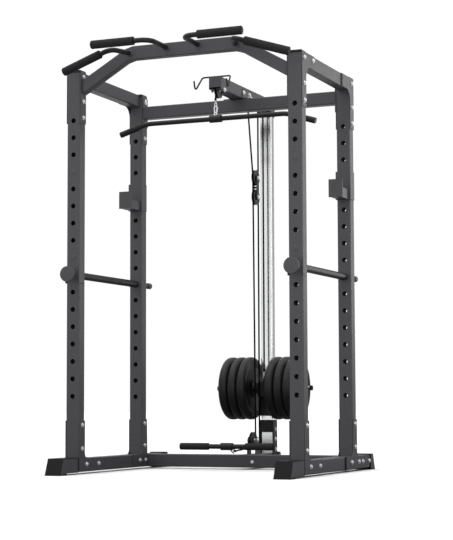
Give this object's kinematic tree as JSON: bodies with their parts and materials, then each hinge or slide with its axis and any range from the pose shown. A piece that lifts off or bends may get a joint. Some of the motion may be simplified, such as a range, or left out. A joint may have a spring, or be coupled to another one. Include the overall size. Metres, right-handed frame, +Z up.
{
  "type": "power cage",
  "caption": "Four-post power cage with pull-up handles, safety bars, barbell hooks and a plate-loaded high and low cable tower on a chrome column.",
  "frame": {"origin": "on the floor, under the centre of the cage's footprint", "axes": "+X to the user's right seen from the front, +Y to the rear where the weight tower stands, +Z up"},
  "size_m": [1.323, 1.532, 2.211],
  "materials": {
    "powder_coat": "satin dark grey powder coat",
    "chrome": "polished",
    "foam_grip": "closed-cell foam",
    "rubber_plate": "satin moulded rubber",
    "plastic_feet": "moulded",
    "nylon_pulley": "turned nylon",
    "coated_cable": "smooth plastic jacket",
    "zinc_link": "bright zinc"
  },
  "bodies": {
    "frame": {"left_front_upright": "powder_coat", "left_rear_upright": "powder_coat", "right_front_upright": "powder_coat", "right_rear_upright": "powder_coat", "left_base_rail": "powder_coat", "left_front_foot": "plastic_feet", "left_rear_foot": "plastic_feet", "right_base_rail": "powder_coat", "right_front_foot": "plastic_feet", "right_rear_foot": "plastic_feet", "base_crossmember": "powder_coat", "tail_foot": "plastic_feet", "centre_base_rail": "powder_coat", "left_front_base_gusset": "powder_coat", "left_front_top_gusset": "powder_coat", "left_rear_base_gusset": "powder_coat", "left_rear_top_gusset": "powder_coat", "right_front_base_gusset": "powder_coat", "right_front_top_gusset": "powder_coat", "right_rear_base_gusset": "powder_coat", "right_rear_top_gusset": "powder_coat", "left_top_rail": "powder_coat", "right_top_rail": "powder_coat", "rear_top_crossbeam": "powder_coat", "pull_up_arch": "powder_coat", "left_inner_grip": "foam_grip", "left_outer_grip": "foam_grip", "right_inner_grip": "foam_grip", "right_outer_grip": "foam_grip", "pulley_arm": "powder_coat", "chrome_column": "chrome", "column_bracket": "powder_coat", "lat_cable": "coated_cable", "row_cable": "coated_cable"},
    "carriage": {"weight_carriage": "powder_coat"},
    "left_plates": {"left_inner_weight_plate": "rubber_plate", "left_middle_weight_plate": "rubber_plate", "left_outer_weight_plate": "rubber_plate"},
    "right_plates": {"right_inner_weight_plate": "rubber_plate", "right_middle_weight_plate": "rubber_plate", "right_outer_weight_plate": "rubber_plate"},
    "lat_hanger": {"lat_link": "zinc_link"},
    "lat_bar": {"lat_bar": "powder_coat"},
    "row_hanger": {"row_link": "zinc_link"},
    "row_bar": {"row_bar": "powder_coat", "left_row_grip": "foam_grip", "right_row_grip": "foam_grip"},
    "floating_block": {"floating_block": "powder_coat"},
    "floating_upper_pulley": {"floating_upper_pulley": "nylon_pulley"},
    "floating_lower_pulley": {"floating_lower_pulley": "nylon_pulley"},
    "front_pulley": {"front_pulley": "nylon_pulley"},
    "middle_pulley": {"middle_pulley": "nylon_pulley"},
    "rear_pulley": {"rear_pulley": "nylon_pulley"},
    "low_pulley": {"low_pulley": "nylon_pulley"},
    "left_j_hook": {"left_j_hook": "powder_coat"},
    "right_j_hook": {"right_j_hook": "powder_coat"},
    "left_safety_rod": {"left_safety_rod": "powder_coat"},
    "right_safety_rod": {"right_safety_rod": "powder_coat"},
    "left_safety_sleeve": {"left_safety_sleeve": "powder_coat"},
    "right_safety_sleeve": {"right_safety_sleeve": "powder_coat"}
  },
  "joints": [
    {"name": "carriage_lift", "type": "slide", "parent": "frame", "child": "carriage", "axis": [0, 0, 1], "range_m": [0, 1.1], "deforming": ["lat_cable"]},
    {"name": "left_plates_slide", "type": "slide", "parent": "carriage", "child": "left_plates", "axis": [-1, 0, 0], "range_m": [0, 0.05]},
    {"name": "right_plates_slide", "type": "slide", "parent": "carriage", "child": "right_plates", "axis": [1, 0, 0], "range_m": [0, 0.05]},
    {"name": "lat_bar_pull", "type": "slide", "parent": "frame", "child": "lat_hanger", "axis": [0, 0, -1], "range_m": [0, 1.1]},
    {"name": "lat_bar_swivel", "type": "hinge", "parent": "lat_hanger", "child": "lat_bar", "pos_m": [0, -0.104, 1.878], "axis": [0, 0, 1], "range_deg": [-60, 60]},
    {"name": "row_bar_pull", "type": "slide", "parent": "frame", "child": "row_hanger", "axis": [0, -1, 0], "range_m": [0, 0.9], "deforming": ["row_cable"]},
    {"name": "row_bar_swivel", "type": "hinge", "parent": "row_hanger", "child": "row_bar", "pos_m": [0, 0.061, 0.131], "axis": [0, 0, 1], "range_deg": [-40, 40]},
    {"name": "floating_block_drop", "type": "slide", "parent": "frame", "child": "floating_block", "axis": [0, 0, -1], "range_m": [0, 0.45]},
    {"name": "front_pulley_spin", "type": "hinge", "parent": "frame", "child": "front_pulley", "pos_m": [0, -0.065, 2.04], "axis": [1, 0, 0], "continuous": true},
    {"name": "middle_pulley_spin", "type": "hinge", "parent": "frame", "child": "middle_pulley", "pos_m": [0, 0.306, 2.058], "axis": [1, 0, 0], "continuous": true},
    {"name": "rear_pulley_spin", "type": "hinge", "parent": "frame", "child": "rear_pulley", "pos_m": [0, 0.544, 2.058], "axis": [1, 0, 0], "continuous": true},
    {"name": "low_pulley_spin", "type": "hinge", "parent": "frame", "child": "low_pulley", "pos_m": [0, 0.408, 0.158], "axis": [1, 0, 0], "continuous": true},
    {"name": "floating_upper_spin", "type": "hinge", "parent": "floating_block", "child": "floating_upper_pulley", "pos_m": [0, 0.466, 1.632], "axis": [1, 0, 0], "continuous": true},
    {"name": "floating_lower_spin", "type": "hinge", "parent": "floating_block", "child": "floating_lower_pulley", "pos_m": [0, 0.466, 1.522], "axis": [1, 0, 0], "continuous": true},
    {"name": "left_hook_pull", "type": "slide", "parent": "frame", "child": "left_j_hook", "axis": [0, -1, 0], "range_m": [0, 0.09]},
    {"name": "right_hook_pull", "type": "slide", "parent": "frame", "child": "right_j_hook", "axis": [0, -1, 0], "range_m": [0, 0.09]},
    {"name": "left_rod_turn", "type": "hinge", "parent": "frame", "child": "left_safety_rod", "pos_m": [-0.6175, -0.152, 1.03], "axis": [0, 1, 0], "continuous": true},
    {"name": "right_rod_turn", "type": "hinge", "parent": "frame", "child": "right_safety_rod", "pos_m": [0.6175, -0.152, 1.03], "axis": [0, 1, 0], "continuous": true},
    {"name": "left_sleeve_turn", "type": "hinge", "parent": "frame", "child": "left_safety_sleeve", "pos_m": [-0.6175, -0.152, 1.03], "axis": [0, 1, 0], "continuous": true},
    {"name": "right_sleeve_turn", "type": "hinge", "parent": "frame", "child": "right_safety_sleeve", "pos_m": [0.6175, -0.152, 1.03], "axis": [0, 1, 0], "continuous": true}
  ],
  "couplings": [
    {"joint": "lat_bar_pull", "follows": "carriage_lift", "ratio": 1},
    {"joint": "front_pulley_spin", "follows": "carriage_lift", "rad_per_m": 25.641},
    {"joint": "middle_pulley_spin", "follows": "carriage_lift", "rad_per_m": 25.641},
    {"joint": "rear_pulley_spin", "follows": "carriage_lift", "rad_per_m": 25.641},
    {"joint": "floating_upper_spin", "follows": "carriage_lift", "rad_per_m": -25.641},
    {"joint": "floating_block_drop", "follows": "row_bar_pull", "ratio": 0.5},
    {"joint": "low_pulley_spin", "follows": "row_bar_pull", "rad_per_m": -25.641},
    {"joint": "floating_lower_spin", "follows": "row_bar_pull", "rad_per_m": 12.82}
  ]
}
